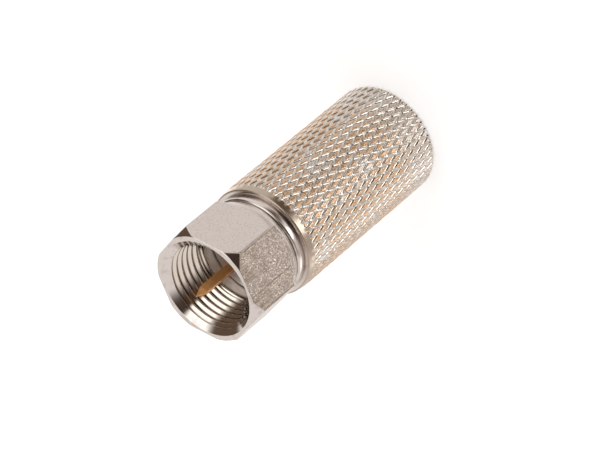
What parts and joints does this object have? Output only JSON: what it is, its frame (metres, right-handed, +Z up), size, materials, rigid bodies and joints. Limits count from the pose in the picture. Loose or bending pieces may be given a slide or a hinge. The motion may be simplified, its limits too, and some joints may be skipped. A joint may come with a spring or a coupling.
{
  "type": "f connector",
  "caption": "Coaxial adaptor with a hexagon F coupling nut and pointed contact blade at the front, and a knurled barrel round an open aerial socket at the back.",
  "frame": {"origin": "centre of the front sleeve's flange face, where the front of an F jack seats, on the common axis", "axes": "+Z up along the axis, from the socket end that it stands on to the plug end; +X square to a flat of the nut; +Y completes the right-handed set"},
  "size_m": [0.012, 0.0128, 0.0316],
  "materials": {
    "nut_nickel": "satin nickel plate on brass",
    "barrel_nickel": "worn nickel plate on knurled brass",
    "sleeve_nickel": "nickel plate on brass",
    "insulator_plastic": "moulded, semi-gloss",
    "contact_brass": "rolled strip, polished"
  },
  "bodies": {
    "body": {"barrel": "barrel_nickel", "front_sleeve": "sleeve_nickel", "insulator": "insulator_plastic", "centre_contact": "contact_brass"},
    "nut": {"coupling_nut": "nut_nickel"}
  },
  "joints": [
    {"name": "nut_swivel", "type": "hinge", "parent": "body", "child": "nut", "pos_m": [0, 0, 0], "axis": [0, 0, 1], "continuous": true}
  ]
}
